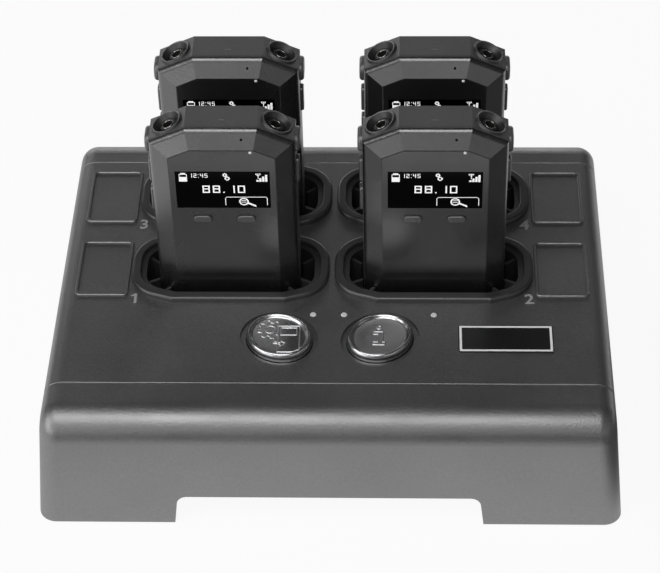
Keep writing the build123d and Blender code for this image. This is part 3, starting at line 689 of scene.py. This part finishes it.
lit_dots = lit_dots_tree()
channels = {"receiver_1": "88.10", "receiver_2": "88.10", "receiver_3": "90.35", "receiver_4": "90.35"}
for receiver in receiver_names:
    low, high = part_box(receiver + "_display")
    module_border = (high.x - low.x - window_width) / 2
    left = low.x + module_border
    top = high.z - module_border
    points = [
        (left + (x + 0.5) * dot_pitch, low.y - dot_lift, top - (y + 0.5) * dot_pitch)
        for x, y in screen_dots(channels[receiver])
    ]
    seed = bpy.data.meshes.new("dots")
    seed.from_pydata(points, [], [])
    settings = {"Dot Size": dot_pitch * dot_share, "Finish": lit_dot}
    picture = grown(receiver + "_picture", seed, lit_dots, settings)
    settle(receiver + "_picture", picture, lit_dot, receiver)


# Small things on a receiver: a status lamp on the face, a microphone hole in the top bevel drawn as a black
# disc of painted shade, a moulded mark on the crown, and a nickel sleeve and a thin raised lip at each
# headphone socket, the lip tinted paler than the shell as a painted highlight.
bevel_width = 7.2 * MM
bevel_depth = 4.0 * MM
crown_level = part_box("receiver_1_rear_shell")[1].z
inlay_root = 0.1 * MM
lamp_radius = 0.6 * MM
lamp_dome = 0.3 * MM
lamp_steps = 5
lamp_across, lamp_drop = 10.8 * MM, 8.1 * MM
lamp_glow = 0.1
hole_radius = 0.5 * MM
hole_flat = 0.3 * MM
hole_rim, hole_crown = 0.02 * MM, 0.03 * MM
hole_across, hole_drop = 7.6 * MM, 3.6 * MM
mark_size = Vector((2.3, 0.5, 0.12)) * MM
mark_setback = 9.2 * MM
mark_rounding = 0.04 * MM
turned_crease = math.radians(40.0)
lamp_lit = grained("lamp_lit", (0.75, 0.75, 0.75), 0.3, cloud=0.2, speckle=0.05)
light_up(lamp_lit, lamp_glow)
# The microphone hole is painted shade: a near-black disc, a hair proud of the bevel, stands in for the dark
# inside of the hole.
hole_painted_shade = grained("hole_painted_shade", (0.001, 0.001, 0.001), 0.9, cloud=0.1, speckle=0.1, shine=0.1)
mark_pale = grained("mark_pale", (0.16, 0.16, 0.16), 0.4, cloud=0.2)
sleeve_nickel = grained("sleeve_nickel", (0.35, 0.34, 0.33), 0.22, cloud=0.2, speckle=0.1, metal=1.0)


def turned_mesh(name, profile, steps=24):
    """A closed solid turned about Z from a profile of (radius, height) pairs that ends on the axis."""
    shape = bmesh.new()
    angles = [2.0 * math.pi * k / steps for k in range(steps)]
    rings = []
    for radius, height in profile[:-1]:
        rings.append([
            shape.verts.new((radius * math.cos(a), radius * math.sin(a), height)) for a in angles
        ])
    tip = shape.verts.new((0.0, 0.0, profile[-1][1]))
    shape.faces.new(list(reversed(rings[0])))
    for k in range(steps):
        for lower, upper in zip(rings, rings[1:]):
            shape.faces.new((lower[k - 1], lower[k], upper[k], upper[k - 1]))
        shape.faces.new((rings[-1][k - 1], rings[-1][k], tip))
    bmesh.ops.recalc_face_normals(shape, faces=shape.faces)
    mesh = bpy.data.meshes.new(name)
    shape.to_mesh(mesh)
    shape.free()
    mesh.shade_smooth()
    mesh.set_sharp_from_angle(angle=turned_crease)
    return mesh


ring_steps = 40
wire_sides = 10


def sleeves_tree():
    """Geometry Nodes: a round ring on every point, square to that point's normal."""
    tree = bpy.data.node_groups.new("plug_sleeves", "GeometryNodeTree")
    tree.interface.new_socket("Points", in_out="INPUT", socket_type="NodeSocketGeometry")
    tree.interface.new_socket("Ring Radius", in_out="INPUT", socket_type="NodeSocketFloat")
    tree.interface.new_socket("Wire Radius", in_out="INPUT", socket_type="NodeSocketFloat")
    tree.interface.new_socket("Finish", in_out="INPUT", socket_type="NodeSocketMaterial")
    tree.interface.new_socket("Sleeves", in_out="OUTPUT", socket_type="NodeSocketGeometry")
    given = tree.nodes.new("NodeGroupInput").outputs
    made = tree.nodes.new("NodeGroupOutput").inputs
    ring = tree.nodes.new("GeometryNodeCurvePrimitiveCircle")
    ring.inputs["Resolution"].default_value = ring_steps
    wire = tree.nodes.new("GeometryNodeCurvePrimitiveCircle")
    wire.inputs["Resolution"].default_value = wire_sides
    tube = tree.nodes.new("GeometryNodeCurveToMesh")
    smooth = tree.nodes.new("GeometryNodeSetShadeSmooth")
    axis = tree.nodes.new("GeometryNodeInputNamedAttribute")
    axis.data_type = "FLOAT_VECTOR"
    axis.inputs["Name"].default_value = "socket_axis"
    facing = tree.nodes.new("FunctionNodeAlignRotationToVector")
    facing.axis = "Z"
    spread = tree.nodes.new("GeometryNodeInstanceOnPoints")
    realize = tree.nodes.new("GeometryNodeRealizeInstances")
    finish = tree.nodes.new("GeometryNodeSetMaterial")
    tree.links.new(given["Ring Radius"], ring.inputs["Radius"])
    tree.links.new(given["Wire Radius"], wire.inputs["Radius"])
    tree.links.new(ring.outputs["Curve"], tube.inputs["Curve"])
    tree.links.new(wire.outputs["Curve"], tube.inputs["Profile Curve"])
    tree.links.new(tube.outputs["Mesh"], smooth.inputs["Geometry"])
    tree.links.new(axis.outputs["Attribute"], facing.inputs["Vector"])
    tree.links.new(given["Points"], spread.inputs["Points"])
    tree.links.new(smooth.outputs["Geometry"], spread.inputs["Instance"])
    tree.links.new(facing.outputs["Rotation"], spread.inputs["Rotation"])
    tree.links.new(spread.outputs["Instances"], realize.inputs["Geometry"])
    tree.links.new(realize.outputs["Geometry"], finish.inputs["Geometry"])
    tree.links.new(given["Finish"], finish.inputs["Material"])
    tree.links.new(finish.outputs["Geometry"], made["Sleeves"])
    return tree


plug_sleeves = sleeves_tree()
sleeve_radius = 2.2 * MM
sleeve_wire = 0.28 * MM
sleeve_sink = 0.5 * MM
lip_radius = 5.6 * MM
lip_wire = 0.28 * MM
lip_rise = 0.8 * MM
facing_user = Matrix.Rotation(math.pi / 2, 4, "X")
facing_bevel = Matrix.Rotation(math.atan2(bevel_width, bevel_depth), 4, "X")
socket_across = 20.225 * MM
socket_setback = 11.2 * MM
socket_drop = 3.23 * MM
socket_lean = math.radians(24.8)
socket_axes = [Vector((side * math.sin(socket_lean), 0.0, math.cos(socket_lean))) for side in (-1, 1)]
lamp_turns = [0.5 * math.pi * k / lamp_steps for k in range(lamp_steps + 1)]
lamp_profile = [(lamp_radius, -inlay_root)]
lamp_profile += [(lamp_radius * math.cos(a), lamp_dome * math.sin(a)) for a in lamp_turns]
hole_profile = [(hole_radius, -inlay_root), (hole_radius, hole_rim)]
hole_profile += [(hole_flat, hole_crown), (0.0, hole_crown)]


def socket_rings(name, places, radius, wire, finish):
    """A ring square to each headphone socket, at the two places given."""
    seed = bpy.data.meshes.new("ring_places")
    seed.from_pydata(places, [], [])
    aimed = seed.attributes.new("socket_axis", "FLOAT_VECTOR", "POINT")
    for place, axis in zip(aimed.data, socket_axes):
        place.vector = axis
    settings = {"Ring Radius": radius, "Wire Radius": wire, "Finish": finish}
    return grown(name, seed, plug_sleeves, settings)


def crown_mark_mesh(name, place):
    """A small bar with rounded edges, half sunk in the crown."""
    shape = bmesh.new()
    bmesh.ops.create_cube(shape, size=1.0)
    bmesh.ops.scale(shape, vec=mark_size, verts=shape.verts)
    bmesh.ops.bevel(
        shape, geom=shape.edges[:], offset=mark_rounding, segments=2, profile=0.5, affect="EDGES"
    )
    bmesh.ops.translate(shape, vec=place, verts=shape.verts)
    mesh = bpy.data.meshes.new(name)
    shape.to_mesh(mesh)
    shape.free()
    return mesh


for receiver in receiver_names:
    low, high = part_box(receiver + "_front_shell")
    middle = (low.x + high.x) / 2
    front = low.y
    lamp = turned_mesh(receiver + "_status_lamp", lamp_profile)
    lamp_place = (middle + lamp_across, front, crown_level - lamp_drop)
    lamp.transform(Matrix.Translation(lamp_place) @ facing_user)
    settle(receiver + "_status_lamp", lamp, lamp_lit, receiver)
    hole = turned_mesh(receiver + "_microphone_hole_painted_shade", hole_profile)
    hole_depth = front + bevel_depth * (1.0 - hole_drop / bevel_width)
    hole_place = (middle + hole_across, hole_depth, crown_level - hole_drop)
    hole.transform(Matrix.Translation(hole_place) @ facing_bevel)
    settle(receiver + "_microphone_hole_painted_shade", hole, hole_painted_shade, receiver)
    mark = crown_mark_mesh(receiver + "_crown_mark", (middle, front + mark_setback, crown_level))
    settle(receiver + "_crown_mark", mark, mark_pale, receiver)
    rims = [
        Vector((middle + side * socket_across, front + socket_setback, crown_level - socket_drop))
        for side in (-1, 1)
    ]
    sunk = [rim - axis * sleeve_sink for rim, axis in zip(rims, socket_axes)]
    sleeves = socket_rings(receiver + "_plug_sleeves", sunk, sleeve_radius, sleeve_wire, sleeve_nickel)
    settle(receiver + "_plug_sleeves", sleeves, sleeve_nickel, receiver)
    # Each lip is a real raised ring. Its paler tint is a painted highlight on that edge.
    raised = [rim + axis * lip_rise for rim, axis in zip(rims, socket_axes)]
    lips = socket_rings(receiver + "_socket_lips", raised, lip_radius, lip_wire, lip_plastic_painted_highlight)
    settle(receiver + "_socket_lips", lips, lip_plastic_painted_highlight, receiver)


# Floor: a white paper sheet under the station, on a dark bench past the sheet's front and right edges.
# The bench darkens what the plastic mirrors. The camera sees both nearly white, with a faint shadow.
floor_reach = 6.0
floor_whiteness = 0.93
floor_roughness = 0.9
bench_glow = 0.12
bench_tone = (0.03, 0.03, 0.03, 1.0)
sheet_tone = (0.85, 0.85, 0.85, 1.0)
front_edge_out, front_edge_in = -0.195, -0.15
right_edge_in, right_edge_out = 0.115, 0.14
right_edge_back, right_edge_full = 0.06, 0.02
floor_paint = bpy.data.materials.new("floor_paint")
floor_paint.use_nodes = True
floor_tree = floor_paint.node_tree
floor_shader = floor_tree.nodes["Principled BSDF"]
floor_shader.inputs["Roughness"].default_value = floor_roughness
floor_glow = floor_tree.nodes.new("ShaderNodeEmission")
floor_glow.inputs["Strength"].default_value = 1.0
light_path = floor_tree.nodes.new("ShaderNodeLightPath").outputs
floor_place = floor_tree.nodes.new("ShaderNodeTexCoord").outputs["Object"]
floor_axes = floor_tree.nodes.new("ShaderNodeSeparateXYZ")
floor_tree.links.new(floor_place, floor_axes.inputs["Vector"])


def floor_ramp(axis, start, end):
    """A value that climbs from 0 to 1 between two places along an axis of the floor."""
    ramp = floor_tree.nodes.new("ShaderNodeMapRange")
    ramp.inputs["From Min"].default_value = start
    ramp.inputs["From Max"].default_value = end
    floor_tree.links.new(floor_axes.outputs[axis], ramp.inputs["Value"])
    return ramp.outputs["Result"]


behind_front = floor_ramp("Y", front_edge_out, front_edge_in)
past_right = floor_ramp("X", right_edge_in, right_edge_out)
before_back = floor_ramp("Y", right_edge_back, right_edge_full)
cut_away = combined(floor_tree, "MULTIPLY", past_right, before_back)
left_over = combined(floor_tree, "SUBTRACT", 1.0, cut_away)
sheet_share = combined(floor_tree, "MULTIPLY", behind_front, left_over)
sheet = floor_tree.nodes.new("ShaderNodeMix")
sheet.data_type = "RGBA"
sheet.inputs["A"].default_value = bench_tone
sheet.inputs["B"].default_value = sheet_tone
floor_tree.links.new(sheet_share, sheet.inputs["Factor"])
floor_tree.links.new(sheet.outputs["Result"], floor_shader.inputs["Base Color"])
mirrored = combined(floor_tree, "MAXIMUM", light_path["Is Glossy Ray"], light_path["Is Transmission Ray"])
mirror_share = combined(floor_tree, "MAXIMUM", sheet_share, bench_glow)
seen_mirrored = combined(floor_tree, "MULTIPLY", mirrored, mirror_share)
seen = combined(floor_tree, "MAXIMUM", light_path["Is Camera Ray"], seen_mirrored)
floor_mix = floor_tree.nodes.new("ShaderNodeMixShader")
floor_tree.links.new(combined(floor_tree, "MULTIPLY", seen, floor_whiteness), floor_mix.inputs["Fac"])
floor_tree.links.new(floor_shader.outputs["BSDF"], floor_mix.inputs[1])
floor_tree.links.new(floor_glow.outputs["Emission"], floor_mix.inputs[2])
floor_tree.links.new(floor_mix.outputs["Shader"], floor_tree.nodes["Material Output"].inputs["Surface"])
floor_mesh = bpy.data.meshes.new("floor")
floor_corners = [(x * floor_reach, y * floor_reach, 0.0) for x, y in ((-1, -1), (1, -1), (1, 1), (-1, 1))]
floor_mesh.from_pydata(floor_corners, [], [(0, 1, 2, 3)])
floor_mesh.materials.append(floor_paint)
floor = bpy.data.objects.new("floor", floor_mesh)
scene.collection.objects.link(floor)


# Light: two soft lamps above the front, three low ones in front, a strong one and a low one at the left,
# a weak one at the right and a long one behind, in a dim room that darkens upwards.
aim = Vector((0.0, 0.0, 0.05))
room_low_tone = (0.05, 0.05, 0.05, 1.0)
room_high_tone = (0.04, 0.04, 0.04, 1.0)
room_turn = 0.5


def soft_lamp(name, azimuth, elevation, distance, wide, high, power):
    """A flat lamp that shines at the station. Azimuth 0 is straight in front, positive to the right."""
    lamp = bpy.data.lights.new(name, "AREA")
    lamp.shape = "RECTANGLE"
    lamp.size = wide
    lamp.size_y = high
    lamp.energy = power
    turn = math.radians(azimuth)
    lift = math.radians(elevation)
    away = Vector((math.sin(turn) * math.cos(lift), -math.cos(turn) * math.cos(lift), math.sin(lift)))
    holder = bpy.data.objects.new(name, lamp)
    holder.location = aim + away * distance
    holder.rotation_euler = away.to_track_quat("Z", "Y").to_euler()
    holder.visible_camera = False
    scene.collection.objects.link(holder)


soft_lamp("overhead_lamp", azimuth=-20.0, elevation=65.0, distance=1.3, wide=1.1, high=0.4, power=5.6)
soft_lamp("upper_front_lamp", azimuth=-20.0, elevation=50.0, distance=1.3, wide=1.1, high=0.45, power=2.8)
soft_lamp("front_left_lamp", azimuth=-25.0, elevation=14.0, distance=1.7, wide=1.1, high=0.5, power=1.5)
soft_lamp("front_right_lamp", azimuth=38.0, elevation=12.0, distance=1.7, wide=1.1, high=0.5, power=1.0)
soft_lamp("front_lamp", azimuth=0.0, elevation=24.0, distance=1.7, wide=0.9, high=0.4, power=1.1)
soft_lamp("left_lamp", azimuth=-68.0, elevation=22.0, distance=1.3, wide=0.8, high=0.8, power=5.1)
soft_lamp("low_left_lamp", azimuth=-45.0, elevation=6.0, distance=1.0, wide=0.6, high=0.3, power=1.0)
soft_lamp("right_lamp", azimuth=70.0, elevation=20.0, distance=1.3, wide=0.7, high=0.7, power=0.4)
soft_lamp("back_lamp", azimuth=-172.0, elevation=12.0, distance=1.6, wide=1.8, high=0.5, power=5.3)
room = bpy.data.worlds.new("room")
room.use_nodes = True
room_tree = room.node_tree
room_light = room_tree.nodes["Background"]
room_place = room_tree.nodes.new("ShaderNodeTexCoord").outputs["Generated"]
room_axes = room_tree.nodes.new("ShaderNodeSeparateXYZ")
room_ramp = room_tree.nodes.new("ShaderNodeValToRGB")
room_ramp.color_ramp.elements[0].color = room_low_tone
room_ramp.color_ramp.elements[1].color = room_high_tone
room_ramp.color_ramp.elements[1].position = room_turn
room_tree.links.new(room_place, room_axes.inputs["Vector"])
room_tree.links.new(room_axes.outputs["Z"], room_ramp.inputs["Fac"])
room_tree.links.new(room_ramp.outputs["Color"], room_light.inputs["Color"])
scene.world = room


# Camera: the photograph's own place, above the front edge and a little to the right, with a long lens.
# Its place and lens were fitted to the photograph, as its upright and receding lines allow.
camera_place = Vector((28.83, -663.76, 655.02)) * MM
camera_yaw = math.radians(2.573)
camera_pitch = math.radians(42.596)
camera_roll = math.radians(-1.566)
image_width = 660
focal_pixels = 2308.9
sensor_width = 36.0
nearest_seen = 0.01
level_right = Vector((math.cos(camera_yaw), math.sin(camera_yaw), 0.0))
forward = Vector((
    -math.sin(camera_yaw) * math.cos(camera_pitch),
    math.cos(camera_yaw) * math.cos(camera_pitch),
    -math.sin(camera_pitch),
))
level_up = level_right.cross(forward)
right = math.cos(camera_roll) * level_right + math.sin(camera_roll) * level_up
up = math.cos(camera_roll) * level_up - math.sin(camera_roll) * level_right
lens = bpy.data.cameras.new("photo_camera")
lens.sensor_width = sensor_width
lens.lens = sensor_width * focal_pixels / image_width
lens.clip_start = nearest_seen
camera = bpy.data.objects.new("photo_camera", lens)
camera_turn = Matrix((right, up, -forward)).transposed().to_4x4()
camera.matrix_world = Matrix.Translation(camera_place) @ camera_turn
scene.collection.objects.link(camera)
scene.camera = camera
scene.view_settings.view_transform = "Standard"
